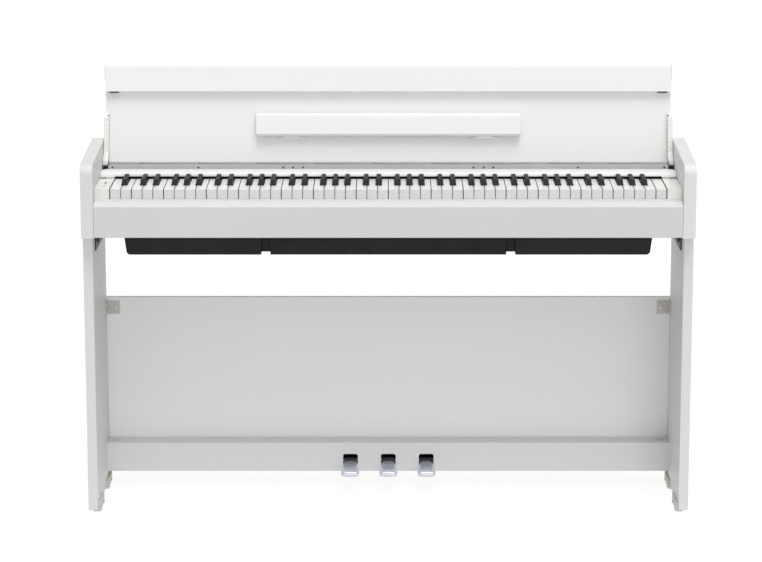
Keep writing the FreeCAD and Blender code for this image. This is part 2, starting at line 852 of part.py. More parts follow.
def music_ledge():
    outline = rectangle("ledge_near", "ledge_low", "ledge_far", "ledge_high")
    body = prism("music_ledge", "YZ_Plane", outline, "-ledge_half", "ledge_half")
    dress(body, "Fillet", "ledge_round", [("ledge_near", "ledge_high")])
    dress(body, "Chamfer", "ledge_chamfer", [("ledge_near", "ledge_low")])
    for _, sign in sides():
        middle = f"{sign} * ledge_hinge_at"
        low = f"{middle} - ledge_knuckle_half"
        high = f"{middle} + ledge_knuckle_half"
        neck = rectangle("ledge_axis_y - 2", "ledge_axis_z", "ledge_axis_y + 1.8", "ledge_low + 1")
        pad(body, "YZ_Plane", neck, low, high)
        barrel = ("circle", "ledge_axis_y", "ledge_axis_z", "ledge_knuckle")
        pad(body, "YZ_Plane", barrel, low, high)
        hole = ("circle", "ledge_axis_y", "ledge_axis_z", "stub_bore")
        pocket(body, "YZ_Plane", hole, low, high)
    lean_with_lid(body)


# ---------------------------------------------------------------- boxes under the keyboard

def speaker_box(side, sign):
    """Open-topped box with a tapered outer end and a round hole in its floor."""
    body = new_body(f"speaker_box_{side}")
    start, end = span(sign, "speaker_in", "speaker_out")
    outer = start if sign < 0 else end
    inner = end if sign < 0 else start
    inward = -sign
    outline = [
        (inner, "box_bottom"),
        (inner, "bed_bottom"),
        (outer, "bed_bottom"),
        (f"{outer} + {inward} * box_taper", "box_bottom"),
    ]
    pad(body, "XZ_Plane", outline, "front + box_front", "front + box_rear")
    dress(body, "Fillet", "box_wall", [outline[-1]], "xz")
    inside = rectangle(f"{start} + box_side", "front + box_front + box_wall",
                       f"{end} - box_side", "front + box_rear - box_wall")
    pocket(body, "XY_Plane", inside, "box_bottom + box_wall", "bed_bottom")
    hole = ("circle", f"{sign} * speaker_at", "front + speaker_depth", "speaker_hole")
    pocket(body, "XY_Plane", hole, "box_bottom", "box_bottom + box_wall")


def cone(label, x, z, low_radius, high_radius, tall):
    """A cone on a driver's axis."""
    thing = doc.addObject("Part::Cone", label)
    bind(thing, Radius1=low_radius, Radius2=high_radius, Height=tall)
    return put(thing, x, "front + speaker_depth", z)


def speakers():
    """Each driver: a flange on the box's floor, a basket and a magnet."""
    drivers = []
    floor = "box_bottom + box_wall"
    for side, sign in sides():
        middle = f"{sign} * speaker_at"
        flange = cylinder(f"flange_{side}", middle, "speaker_depth", floor,
                          "speaker_hole + flange_over", "flange_thick")
        basket = cone(f"basket_{side}", middle, f"{floor} + flange_thick",
                      "speaker_hole - 3", "20", "basket_tall")
        magnet = cylinder(f"magnet_{side}", middle, "speaker_depth",
                          f"{floor} + flange_thick + basket_tall", "26", "12")
        hollow = cone(f"hollow_{side}", middle, floor, "speaker_hole - 5", "16", "basket_tall - 1")
        whole = fuse(f"driver_body_{side}", [flange, basket, magnet])
        drivers.append(cut(f"driver_{side}", whole, hollow))
    group("speakers", drivers)


def electronics_box():
    """Middle box with a shallower bridge towards each speaker box."""
    body = new_body("electronics_box")
    outline = [
        ("-speaker_in + bridge_gap", "bed_bottom"),
        ("-speaker_in + bridge_gap", "bridge_bottom"),
        ("-centre_half", "bridge_bottom"),
        ("-centre_half", "box_bottom"),
        ("centre_half", "box_bottom"),
        ("centre_half", "bridge_bottom"),
        ("speaker_in - bridge_gap", "bridge_bottom"),
        ("speaker_in - bridge_gap", "bed_bottom"),
    ]
    face_rear = "front + box_front + box_face"
    pad(body, "XZ_Plane", outline, face_rear, "front + box_rear")
    face = rectangle("-centre_half", "box_bottom", "centre_half", "bed_bottom")
    pad(body, "XZ_Plane", face, "front + box_front", face_rear)
    inside = rectangle("-centre_half + box_wall", "front + box_front + box_wall",
                       "centre_half - box_wall", "front + box_rear - box_wall")
    pocket(body, "XY_Plane", inside, "box_bottom + box_wall", "bed_bottom")
    window = rectangle("-140", "604", "-40", "632")
    pocket(body, "XZ_Plane", window, "front + box_rear - box_wall", "front + box_rear")


def jack_panel():
    """Connector plate at the back of the middle box, with the power inlet and two sockets."""
    body = new_body("jack_panel")
    plate = rectangle("-148", "599", "-32", "637")
    plate_rear = "front + box_rear + jack_plate"
    pad(body, "XZ_Plane", plate, "front + box_rear", plate_rear)
    for x, radius in (("-120", "4"), ("-90", "3.4"), ("-64", "3.4")):
        hole = ("circle", x, "jack_height", radius)
        pocket(body, "XZ_Plane", hole, "front + box_rear", plate_rear)


def main_board():
    """Circuit board on the floor of the middle box, with its larger components."""
    floor = "box_bottom + box_wall"
    top = f"{floor} + board_lift + board_sheet"
    board = box("board", "-180", "70", f"{floor} + board_lift", "360", "150", "board_sheet")
    chip = box("chip", "-40", "120", top, "26", "26", "2.4")
    amplifier = box("amplifier", "70", "110", top, "60", "18", "18")
    socket = box("socket", "-126", "214", top, "12", "6", "9")
    posts = [box(f"post_{i}", x, y, floor, "6", "6", "board_lift")
             for i, (x, y) in enumerate((("-176", "74"), ("170", "74"), ("-176", "210"),
                                         ("170", "210")))]
    keep(fuse("main_board", [board, chip, amplifier, socket] + posts), "main_board")


# ---------------------------------------------------------------- stand

def leg(side, sign):
    outline = rectangle("front + leg_front", "leg_bottom", "front + leg_rear", "arm_bottom")
    prism(f"leg_{side}", "YZ_Plane", outline, *span(sign, "leg_inside", "half_width"))


def leg_brackets():
    """Steel angles that join the legs to the key bed, stepped where they pass under the arms."""
    pieces = []
    sheet_low = "arm_bottom - bracket_sheet"
    for side, sign in sides():
        outward, _ = span(sign, "leg_inside - bracket_sheet", "leg_inside")
        upright = box(f"bracket_upright_{side}", outward, "bracket_near", "bracket_low",
                      "bracket_sheet", "bracket_long", "arm_bottom - bracket_low")
        under_arm, _ = span(sign, "arm_inside", "leg_inside")
        step = box(f"bracket_step_{side}", under_arm, "bracket_near", sheet_low,
                   "leg_inside - arm_inside", "bracket_long", "bracket_sheet")
        under_bed, _ = span(sign, "arm_inside - bracket_reach", "arm_inside")
        flange = box(f"bracket_flange_{side}", under_bed, "bracket_near", sheet_low,
                     "bracket_reach", "bracket_long", f"bed_bottom - ({sheet_low})")
        pieces.append(fuse(f"bracket_{side}", [upright, step, flange]))
    group("leg_brackets", pieces)


def back_panel():
    keep(box("back_panel", "-leg_inside", "panel_front", "pedal_box_low",
             "2 * leg_inside", "panel_thick", "panel_top - pedal_box_low"), "back_panel")


def panel_brackets():
    pieces = []
    screws = []
    for side, sign in sides():
        x, _ = span(sign, "leg_inside - corner_size", "leg_inside")
        face = box(f"corner_face_{side}", x, "panel_front - corner_sheet", "corner_low",
                   "corner_size", "corner_sheet", "corner_size")
        x, _ = span(sign, "leg_inside - corner_sheet", "leg_inside")
        flange = box(f"corner_flange_{side}", x, "panel_front - corner_deep", "corner_low",
                     "corner_sheet", "corner_deep", "corner_size")
        pieces.append(fuse(f"corner_{side}", [face, flange]))
        screws.append(cylinder(f"face_screw_{side}", f"{sign} * (leg_inside - face_screw_in)",
                               "panel_front - corner_sheet - screw_tall",
                               "corner_low + corner_size / 2",
                               "face_screw_radius", "screw_tall", "y"))
        x, _ = span(sign, "leg_inside - corner_sheet - screw_tall", "leg_inside - corner_sheet")
        for height in ("side_screw_low", "side_screw_high"):
            screws.append(cylinder(f"{height}_{side}", x, "panel_front - side_screw_deep", height,
                                   "side_screw_radius", "screw_tall", "x"))
    group("panel_brackets", pieces)
    group("bracket_screws", screws)


def pedal_box():
    """Front board with three openings, top board, and a floor with ears for the pedal rod."""
    front = new_body("pedal_box_front")
    rear_of_front = "front + pedal_box_front + pedal_board"
    face = rectangle("-leg_inside", "pedal_box_low", "leg_inside", "pedal_box_high")
    pad(front, "XZ_Plane", face, "front + pedal_box_front", rear_of_front)
    low = "-pedal_step - pedal_opening_half"
    high = "-pedal_step + pedal_opening_half"
    opening = rectangle(low, "pedal_box_low - 1", high, "pedal_opening_top")
    first = pocket(front, "XZ_Plane", opening, "front + pedal_box_front - 1", f"{rear_of_front} + 1")
    repeat(front, 3, "pedal_step", [first])
    corners = [(f"({i}) * pedal_step + ({j}) * pedal_opening_half", "pedal_opening_top")
               for i in (-1, 0, 1) for j in (-1, 1)]
    dress(front, "Fillet", "pedal_opening_round", corners, "xz")
    keep(box("pedal_box_top", "-leg_inside", "pedal_box_front + pedal_board",
             "pedal_box_high - pedal_board", "2 * leg_inside",
             "panel_front - pedal_box_front - pedal_board", "pedal_board"), "pedal_box_top")
    floor = new_body("pedal_box_floor")
    floor_top = "pedal_box_low + pedal_floor"
    plate = rectangle("-leg_inside", "pedal_box_low", "leg_inside", floor_top)
    pad(floor, "XZ_Plane", plate, rear_of_front, "front + panel_front")
    axis = "front + pedal_axis_depth"
    for x in ("-ear_outer - pedal_floor", "-ear_inner - pedal_floor", "ear_inner", "ear_outer"):
        ear = rectangle(x, floor_top, f"{x} + pedal_floor", "pedal_axis_height + ear_half")
        pad(floor, "XZ_Plane", ear, f"{axis} - ear_half", f"{axis} + ear_half")
    rod = ("circle", axis, "pedal_axis_height", "pedal_rod")
    pocket(floor, "YZ_Plane", rod, "-pedal_rod_half", "pedal_rod_half")
    keep(cylinder("pedal_pivot_rod", "-pedal_rod_half", "pedal_axis_depth", "pedal_axis_height",
                  "pedal_rod", "2 * pedal_rod_half", "x"), "pedal_pivot_rod")


def pedal(name, middle):
    """Lever that widens towards a thick rounded nose."""
    body = new_body(f"pedal_{name}")
    nose = "front + pedal_nose"
    outline = [
        (f"{middle} - nose_half", nose),
        (f"{middle} + nose_half", nose),
        (f"{middle} + pedal_half_front", f"{nose} + nose_corner"),
        (f"{middle} + pedal_half_rear", "front + pedal_rear"),
        (f"{middle} - pedal_half_rear", "front + pedal_rear"),
        (f"{middle} - pedal_half_front", f"{nose} + nose_corner"),
    ]
    pad(body, "XY_Plane", outline, "nose_low", "pedal_high")
    left_of = f"{middle} - pedal_half_front - 1"
    right_of = f"{middle} + pedal_half_front + 1"
    under = rectangle(f"{nose} + nose_deep", "nose_low - 1", "front + pedal_rear + 1", "pedal_low")
    pocket(body, "YZ_Plane", under, left_of, right_of)
    dress(body, "Fillet", "pedal_round", [(middle, nose, "pedal_high")], "xyz")
    rod = ("circle", "front + pedal_axis_depth", "pedal_axis_height", "pedal_bore")
    pocket(body, "YZ_Plane", rod, left_of, right_of)


def screw_caps():
    caps = [cylinder(f"cap_{side}", f"{sign} * cap_at", "cap_depth", "pedal_box_high",
                     "cap_radius", "cap_tall") for side, sign in sides()]
    group("screw_caps", caps)


def feet():
    """Plastic feet under the legs, each with a flange up the leg's inner face."""
    pieces = []
    inner = "leg_inside - foot_flange"
    for side, sign in sides():
        for depth in ("foot_near", "foot_far"):
            x, _ = span(sign, inner, f"{inner} + foot_wide")
            sole = box(f"sole_{side}_{depth}", x, depth, "0", "foot_wide", "foot_deep", "leg_bottom")
            x, _ = span(sign, inner, "leg_inside")
            flange = box(f"flange_{side}_{depth}", x, depth, "leg_bottom",
                         "foot_flange", "foot_deep", "foot_tall")
            pieces.append(fuse(f"foot_{side}_{depth}", [sole, flange]))
    group("feet", pieces)


# ---------------------------------------------------------------- assembly

for side, sign in sides():
    side_arm(side, sign)
    end_block(side, sign)
    hinge_arm(side, sign)
    speaker_box(side, sign)
    leg(side, sign)
case_boards()
key_slip()
lid_stops()
hinge_rail()
rear_cover()
controls()
key_chassis()
for note, (first, left, right, count) in WHITE_NOTES.items():
    white_keys(note, first, left, right, count)
for note, (line, offset, count) in BLACK_NOTES.items():
    black_keys(note, line, offset, count)
fixed_leaf()
moving_leaf()
hinge_pin()
lid_panel()
flap_brackets()
ledge_hinges()
lid_flap()
flap_bumpers()
music_ledge()
speakers()
electronics_box()
jack_panel()
main_board()
leg_brackets()
back_panel()
panel_brackets()
pedal_box()
for name, middle in (("left", "-pedal_step"), ("centre", "0"), ("right", "pedal_step")):
    pedal(name, middle)
screw_caps()
feet()
doc.recompute()

for thing in doc.Objects:
    if {"Invalid", "Error"} & set(thing.State):
        raise RuntimeError(f"{thing.Label} failed: {thing.State}")
for thing in NODES:
    if thing.Shape.isNull() or not thing.Shape.isValid():
        raise RuntimeError(f"{thing.Label} has no valid shape")

os.makedirs("parts", exist_ok=True)
for thing in NODES:
    thing.Shape.exportStep(f"parts/{thing.Label}.step")
print(len(NODES), "sub-parts written")
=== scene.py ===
import json
import math

import bmesh
import bpy
from mathutils import Euler, Matrix, Vector


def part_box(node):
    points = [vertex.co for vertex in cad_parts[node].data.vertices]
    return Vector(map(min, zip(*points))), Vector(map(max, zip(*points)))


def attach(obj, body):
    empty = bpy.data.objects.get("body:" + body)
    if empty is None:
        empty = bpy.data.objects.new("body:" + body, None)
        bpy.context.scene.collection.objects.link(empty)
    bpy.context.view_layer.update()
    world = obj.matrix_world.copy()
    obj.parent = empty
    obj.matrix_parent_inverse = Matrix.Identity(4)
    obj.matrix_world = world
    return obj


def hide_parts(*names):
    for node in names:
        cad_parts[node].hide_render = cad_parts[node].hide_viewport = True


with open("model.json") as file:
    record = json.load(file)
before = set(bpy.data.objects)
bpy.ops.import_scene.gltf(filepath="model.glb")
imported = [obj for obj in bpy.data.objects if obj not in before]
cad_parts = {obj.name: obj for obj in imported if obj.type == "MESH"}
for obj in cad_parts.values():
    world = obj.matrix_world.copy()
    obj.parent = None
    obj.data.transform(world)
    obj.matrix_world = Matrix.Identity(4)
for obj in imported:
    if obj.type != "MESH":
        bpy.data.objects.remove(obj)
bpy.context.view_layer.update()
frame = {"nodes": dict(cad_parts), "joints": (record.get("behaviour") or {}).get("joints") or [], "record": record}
NODES = frame["nodes"]
JOINTS = {joint["name"]: joint for joint in frame["joints"]}
LID_LEAN = math.radians(13)          # how far the open lid leans back
MM = 0.001


# ---------------------------------------------------------------- materials

class Surface:
    """A material on one Principled shader, with helpers for procedural detail."""

    def __init__(self, name, roughness, **values):
        self.material = bpy.data.materials.new(name)
        self.material.use_nodes = True
        self.tree = self.material.node_tree
        self.shader = self.tree.nodes["Principled BSDF"]
        self.shader.inputs["Roughness"].default_value = roughness
        for key, value in values.items():
            self.shader.inputs[key.replace("_", " ")].default_value = value
        self.place = self.node("ShaderNodeTexCoord").outputs["Object"]

    def node(self, kind, **values):
        made = self.tree.nodes.new(kind)
        for key, value in values.items():
            made.inputs[key.replace("_", " ")].default_value = value
        return made

    def link(self, source, target):
        self.tree.links.new(source, target)

    def noise(self, scale, detail=3.0, stretch=None):
        """Noise over the object's own space; scale is in cycles per metre."""
        made = self.node("ShaderNodeTexNoise", Scale=scale, Detail=detail)
        source = self.place
        if stretch:
            mapping = self.node("ShaderNodeMapping", Scale=stretch)
            self.link(source, mapping.inputs["Vector"])
            source = mapping.outputs["Vector"]
        self.link(source, made.inputs["Vector"])
        return made.outputs["Fac"]

    def ramp(self, factor, low, high, start=0.35, end=0.65):
        """Two colours, or two greys, mixed by a factor."""
        made = self.node("ShaderNodeValToRGB")
        stops = made.color_ramp.elements
        stops[0].position, stops[1].position = start, end
        stops[0].color = low if len(low) == 4 else (*low, 1)
        stops[1].color = high if len(high) == 4 else (*high, 1)
        self.link(factor, made.inputs["Fac"])
        return made.outputs["Color"]

    def colour(self, source):
        self.link(source, self.shader.inputs["Base Color"])

    def rough(self, factor, low, high):
        self.link(self.ramp(factor, (low,) * 3, (high,) * 3), self.shader.inputs["Roughness"])

    def bump(self, factor, strength, distance):
        made = self.node("ShaderNodeBump", Strength=strength, Distance=distance)
        self.link(factor, made.inputs["Height"])
        if self.shader.inputs["Normal"].is_linked:
            self.link(self.shader.inputs["Normal"].links[0].from_socket, made.inputs["Normal"])
        self.link(made.outputs["Normal"], self.shader.inputs["Normal"])

    def mix(self, factor, first, second):
        made = self.node("ShaderNodeMix")
        made.data_type = "RGBA"
        self.link(factor, made.inputs[0])
        for socket, value in ((made.inputs[6], first), (made.inputs[7], second)):
            if isinstance(value, tuple):
                socket.default_value = (*value, 1)
            else:
                self.link(value, socket)
        return made.outputs[2]

    def front_painted_light_mask(self, low, high):
        """1 on faces turned to the front, 0 on the others: the mask for painted shade on white key fronts and
        painted highlight on black key front slopes.
        """
        geometry = self.node("ShaderNodeNewGeometry")
        axes = self.node("ShaderNodeSeparateXYZ")
        self.link(geometry.outputs["Normal"], axes.inputs["Vector"])
        front = self.node("ShaderNodeMath")
        front.operation = "MULTIPLY"
        front.inputs[1].default_value = -1
        self.link(axes.outputs["Y"], front.inputs[0])
        return self.ramp(front.outputs["Value"], (0, 0, 0), (1, 1, 1), low, high)

    def edge_wear(self, base, worn, low=0.51, high=0.56):
        """Lighten or darken convex edges a little."""
        geometry = self.node("ShaderNodeNewGeometry")
        edge = self.ramp(geometry.outputs["Pointiness"], (0, 0, 0), (1, 1, 1), low, high)
        return self.mix(edge, base, worn)


def shade(rgb, factor):
    return tuple(channel * factor for channel in rgb)


def white_film(name, rgb, grain=1.0):
    """Board wrapped in a matt white film: faint cloudiness, very fine speckle, pressed grain."""
    surface = Surface(name, 0.5, Specular_IOR_Level=0.35)
    cloud = surface.ramp(surface.noise(2.2, 2), shade(rgb, 0.985), rgb, 0.3, 0.7)
    speckle = surface.ramp(surface.noise(1400, 2), (0.93,) * 3, (1.0,) * 3, 0.30, 0.52)
    tint = surface.node("ShaderNodeMix")
    tint.data_type = "RGBA"
    tint.blend_type = "MULTIPLY"
    tint.inputs[0].default_value = 0.55 * grain
    surface.link(cloud, tint.inputs[6])
    surface.link(speckle, tint.inputs[7])
    surface.colour(surface.edge_wear(tint.outputs[2], shade(rgb, 0.96)))
    surface.rough(surface.noise(6, 3), 0.44, 0.56)
    surface.bump(surface.noise(900, 4, (0.35, 1, 1)), 0.16, 0.00025)
    return surface.material


def moulded(name, rgb, roughness, texture=0.12, spread=0.06, **values):
    """Moulded plastic: slight tone changes and a fine sparked texture."""
    surface = Surface(name, roughness, **values)
    tone = surface.ramp(surface.noise(9, 3), shade(rgb, 1 - spread), rgb)
    surface.colour(surface.edge_wear(tone, shade(rgb, 1 + spread * 0.6)))
    surface.rough(surface.noise(22, 3), roughness - 0.05, roughness + 0.07)
    surface.bump(surface.noise(1800, 2), texture, 0.0002)
    return surface.material


def metal(name, rgb, roughness, brushed=True, flow=(1, 60, 60)):
    surface = Surface(name, roughness, Metallic=1.0)
    tone = surface.ramp(surface.noise(14, 4), shade(rgb, 0.88), rgb)
    surface.colour(surface.edge_wear(tone, shade(rgb, 1.12)))
    surface.rough(surface.noise(40, 3), roughness * 0.8, min(1, roughness * 1.35))
    if brushed:
        surface.bump(surface.noise(30, 3, flow), 0.10, 0.0002)
    return surface.material


def felt(name, rgb, sheen):
    surface = Surface(name, 0.95, Sheen_Weight=sheen, Sheen_Roughness=0.5,
                      Specular_IOR_Level=0.1)
    fibres = surface.noise(2600, 5)
    surface.colour(surface.ramp(fibres, shade(rgb, 0.5), shade(rgb, 1.3)))
    surface.bump(fibres, 0.6, 0.0005)
    return surface.material


def raw_board(name):
    """Bare particle board: chips of several browns."""
    surface = Surface(name, 0.85, Specular_IOR_Level=0.2)
    chips = surface.node("ShaderNodeTexVoronoi", Scale=420)
    surface.link(surface.place, chips.inputs["Vector"])
    grey = surface.node("ShaderNodeSeparateColor")
    surface.link(chips.outputs["Color"], grey.inputs["Color"])
    surface.colour(surface.ramp(grey.outputs["Red"], (0.33, 0.22, 0.12), (0.62, 0.48, 0.32), 0.1, 0.9))
    surface.bump(grey.outputs["Red"], 0.3, 0.0006)
    return surface.material


def circuit(name):
    """Green resist over a pattern of straight copper tracks."""
    surface = Surface(name, 0.35)
    bricks = surface.node("ShaderNodeTexBrick", Scale=60)
    surface.link(surface.place, bricks.inputs["Vector"])
    surface.colour(surface.ramp(bricks.outputs["Fac"], (0.01, 0.10, 0.04), (0.02, 0.20, 0.08)))
    surface.bump(bricks.outputs["Fac"], 0.3, 0.0002)
    return surface.material


def flank_painted_shade(surface, colour, painted_gap_shade):
    """Painted shade: the flanks of a key, which face its neighbours, are painted dark so the gaps between keys
    look shaded.
    """
    geometry = surface.node("ShaderNodeNewGeometry")
    axes = surface.node("ShaderNodeSeparateXYZ")
    surface.link(geometry.outputs["Normal"], axes.inputs["Vector"])
    size = surface.node("ShaderNodeMath")
    size.operation = "ABSOLUTE"
    surface.link(axes.outputs["X"], size.inputs[0])
    return surface.mix(surface.ramp(size.outputs["Value"], (0, 0, 0), (1, 1, 1), 0.45, 0.80),
                       colour, painted_gap_shade)


def ivory_key(name):
    """White key plastic: warm, semi-gloss, with faint streaks along the key; the fronts carry painted shade in a
    darker grey, and the flanks carry painted shade in near black.
    """
    surface = Surface(name, 0.32, Specular_IOR_Level=0.4, Coat_Weight=0.2, Coat_Roughness=0.25)
    streak = surface.noise(55, 2, (1, 0.10, 1))
    tone = surface.ramp(streak, (0.855, 0.850, 0.830), (0.870, 0.866, 0.848))
    # painted shade: faces turned to the front are painted a darker grey than the key tops
    fronts_painted_shade = surface.mix(surface.front_painted_light_mask(0.80, 0.97), tone, (0.69, 0.695, 0.70))
    # painted shade: near-black flanks darken the gaps between the keys
    surface.colour(flank_painted_shade(surface, fronts_painted_shade, (0.10, 0.10, 0.097)))
    surface.rough(surface.noise(45, 3), 0.30, 0.38)
    surface.bump(surface.noise(1500, 2), 0.03, 0.0001)
    return surface.material


def ebony_key(name):
    """Black key plastic: satin, with fine streaks along the key and a painted highlight that makes the front slope
    paler.
    """
    surface = Surface(name, 0.42, Specular_IOR_Level=0.08)
    streak = surface.noise(160, 3, (1, 0.08, 1))
    tone = surface.ramp(streak, (0.007, 0.007, 0.007), (0.016, 0.016, 0.0155))
    # painted highlight: the front slope is painted paler than the top
    surface.colour(surface.mix(surface.front_painted_light_mask(0.35, 0.60), tone, (0.020, 0.020, 0.020)))
    surface.rough(streak, 0.36, 0.48)
    surface.bump(streak, 0.06, 0.0002)
    return surface.material


WHITE = (0.80, 0.80, 0.80)
WARM_WHITE = (0.80, 0.785, 0.75)
BEIGE = (0.60, 0.575, 0.54)

SLOT_MATERIALS = {
    "white_panel": white_film("white_film", WHITE),
    "raw_board": raw_board("particle_board"),
    "white_plastic": moulded("off_white_plastic", WARM_WHITE, 0.45, spread=0.03),
    "beige_plastic": moulded("beige_plastic", BEIGE, 0.55),
    "black_panel": moulded("black_board", (0.009, 0.009, 0.009), 0.6, texture=0.3, spread=0.3,
                           Specular_IOR_Level=0.25),
    "black_plastic": moulded("black_plastic", (0.02, 0.02, 0.02), 0.45, spread=0.25),
    "black_steel": moulded("black_powder_coat", (0.018, 0.018, 0.019), 0.5, texture=0.4, spread=0.2),
    "steel": metal("zinc_steel", (0.62, 0.62, 0.63), 0.35),
    "hinge_grey": moulded("hinge_strip", (0.42, 0.42, 0.42), 0.5, texture=0.1, Metallic=0.25),
    "chrome": moulded("satin_nickel", (0.70, 0.72, 0.82), 0.26, texture=0.02, spread=0.012,
                      Metallic=0.35),
    "white_key": ivory_key("white_key_plastic"),
    "black_key": ebony_key("black_key_plastic"),
    # black felt, made very dark: its colour also serves as painted shade in the pedal box tunnels
    "black_felt": felt("black_felt", (0.006, 0.006, 0.0065), 0.05),
    "red_felt": felt("red_felt", (0.35, 0.02, 0.02), 0.5),
    "rubber": moulded("bumper_rubber", (0.030, 0.030, 0.031), 0.8, texture=0.3),
    "circuit_board": circuit("circuit_board"),
}
# painted light and shade: these boards have their white film painted a little lighter or darker than the rest
# (some lighter, some darker), standing in for how the light falls on each board
FILM_PAINTED_LIGHT_AND_SHADE = {
    "lid_panel": 0.88, "lid_flap": 0.88, "music_ledge": 0.88, "back_panel": 0.94,
    "key_slip": 0.68, "side_arm_left": 0.74, "side_arm_right": 0.79,
    "pedal_box_front": 0.75, "pedal_box_top": 0.75, "leg_left": 0.75, "leg_right": 0.76,
}
# lit and shaded copies of the white film, one for each painted value
PAINTED_LIGHT_FILMS = {shade: white_film(f"white_film_{round(100 * shade)}", (shade,) * 3)
         for shade in sorted(set(FILM_PAINTED_LIGHT_AND_SHADE.values()))}
NEUTRAL_NODES = ("rear_cover", "flap_brackets", "ledge_hinges")
NEUTRAL_PLASTIC = moulded("neutral_white_plastic", (0.84, 0.84, 0.84), 0.45, spread=0.03)


# ---------------------------------------------------------------- mesh helpers

def piece(name, mesh_maker, slot, body, replaced=()):
    """A new mesh object that rides on a body; mesh_maker fills a bmesh in the row's frame."""
    bm = bmesh.new()
    mesh_maker(bm)
    bmesh.ops.recalc_face_normals(bm, faces=bm.faces)
    mesh = bpy.data.meshes.new(name)
    bm.to_mesh(mesh)
    bm.free()
    made = bpy.data.objects.new(name, mesh)
    bpy.context.scene.collection.objects.link(made)
    mesh.materials.append(SLOT_MATERIALS[slot])
    for polygon in mesh.polygons:
        polygon.use_smooth = True
    mesh.set_sharp_from_angle(angle=math.radians(35))
    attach(made, body)
    if replaced:
        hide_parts(*replaced)
    return made


def soften(thing, width, segments=2):
    """Round the sharp edges a little."""
    weld = thing.modifiers.new("weld", "WELD")
    weld.merge_threshold = 1e-5
    bevel = thing.modifiers.new("bevel", "BEVEL")
    bevel.width = width
    bevel.segments = segments
    bevel.limit_method = "ANGLE"
    bevel.angle_limit = math.radians(40)
    bevel.harden_normals = True
    bevel.use_clamp_overlap = True
    return thing


def ring_of(bm, radius, height, count, matrix):
    """A ring of vertices round the local z axis at a height."""
    return [
        bm.verts.new(matrix @ Vector((
            radius * math.cos(2 * math.pi * i / count),
            radius * math.sin(2 * math.pi * i / count),
            height,
        )))
        for i in range(count)
    ]


def bridge(bm, lower, upper):
    count = len(lower)
    for i in range(count):
        j = (i + 1) % count
        bm.faces.new((lower[i], lower[j], upper[j], upper[i]))


def lathe(bm, profile, matrix, count=24):
    """A turned solid: profile is (radius, height) pairs, closed with a cap at each end."""
    rings = [ring_of(bm, radius, height, count, matrix) for radius, height in profile]
    for lower, upper in zip(rings, rings[1:]):
        bridge(bm, lower, upper)
    bm.faces.new(list(reversed(rings[0])))
    bm.faces.new(rings[-1])


def sleeve(bm, inner, outer, low, high, matrix, count=32):
    """A ring of square section round the local z axis, open in the middle."""
    corners = ((outer, low), (outer, high), (inner, high), (inner, low))
    rings = [ring_of(bm, radius, height, count, matrix) for radius, height in corners]
    for ring, following in zip(rings, rings[1:] + rings[:1]):
        bridge(bm, ring, following)


def screw_head(bm, matrix, radius, height):
    """A pan head with a rounded rim and a sunk cross recess."""
    count = 32
    arm = radius * 0.16
    reach = radius * 0.62
    deep = height * 0.45
    outer = [(radius, 0.0), (radius, height * 0.45), (radius * 0.9, height * 0.82),
             (radius * 0.72, height)]
    rings = [ring_of(bm, r, h, count, matrix) for r, h in outer]
    for lower, upper in zip(rings, rings[1:]):
        bridge(bm, lower, upper)
    bm.faces.new(list(reversed(rings[0])))
    cross = []
    for quarter in range(4):
        turn = Matrix.Rotation(quarter * math.pi / 2, 4, "Z")
        for x, y in ((arm, arm), (arm, reach), (-arm, reach)):
            cross.append(turn @ Vector((x, y, 0)))
    top = [bm.verts.new(matrix @ (p + Vector((0, 0, height)))) for p in cross]
    low = [bm.verts.new(matrix @ (p * 0.9 + Vector((0, 0, height - deep)))) for p in cross]
    bridge(bm, top, low)
    bm.faces.new(low)
    fill = bmesh.ops.triangle_fill
    edges = [bm.edges.get((rings[-1][i], rings[-1][(i + 1) % count])) for i in range(count)]
    edges += [bm.edges.get((top[i], top[(i + 1) % len(top)])) for i in range(len(top))]
    fill(bm, edges=edges, use_beauty=True)


def slab(bm, low, high, matrix=Matrix.Identity(4)):
    """A box between two corners."""
    size = Vector(high) - Vector(low)
    middle = (Vector(high) + Vector(low)) / 2
    made = bmesh.ops.create_cube(bm, size=1.0)
    scale = Matrix.Diagonal((*size, 1))
    bmesh.ops.transform(bm, matrix=matrix @ Matrix.Translation(middle) @ scale,
                        verts=made["verts"])


def facing(direction, place):
    """A frame at a place whose local z points in a direction."""
    turn = Vector(direction).to_track_quat("Z", "Y").to_matrix().to_4x4()
    return Matrix.Translation(Vector(place)) @ turn


def lid_frame():
    """The lid's own frame at rest: origin on the hinge line, y to its back, z up its face."""
    place = Vector(JOINTS["lid_hinge"]["pos_m"])
    return Matrix.Translation(place) @ Matrix.Rotation(-LID_LEAN, 4, "X")


LID = lid_frame()


# ---------------------------------------------------------------- CAD nodes

BEVELS = {
    "lid_panel": 1.2, "lid_flap": 1.0, "music_ledge": 1.4, "key_slip": 1.2, "rear_cover": 0.8,
    "side_arm_left": 1.6, "side_arm_right": 1.6, "leg_left": 1.2, "leg_right": 1.2,
    "back_panel": 0.8, "pedal_box_top": 1.0, "rear_board": 0.8,
    "end_block_left": 1.6, "end_block_right": 1.6, "hinge_arm_left": 1.5, "hinge_arm_right": 1.5,
    "ledge_hinges": 0.8, "flap_brackets": 0.5, "feet": 1.2, "panel_brackets": 0.4,
    "leg_brackets": 0.6, "speaker_box_left": 1.6, "speaker_box_right": 1.6,
    "electronics_box": 1.6, "flap_bumpers": 0.8, "lid_stops": 0.8, "volume_slider": 0.7,
    "power_button": 0.8, "hinge_rail": 0.4, "hinge_leaf_fixed": 0.25, "hinge_leaf_moving": 0.25,
}


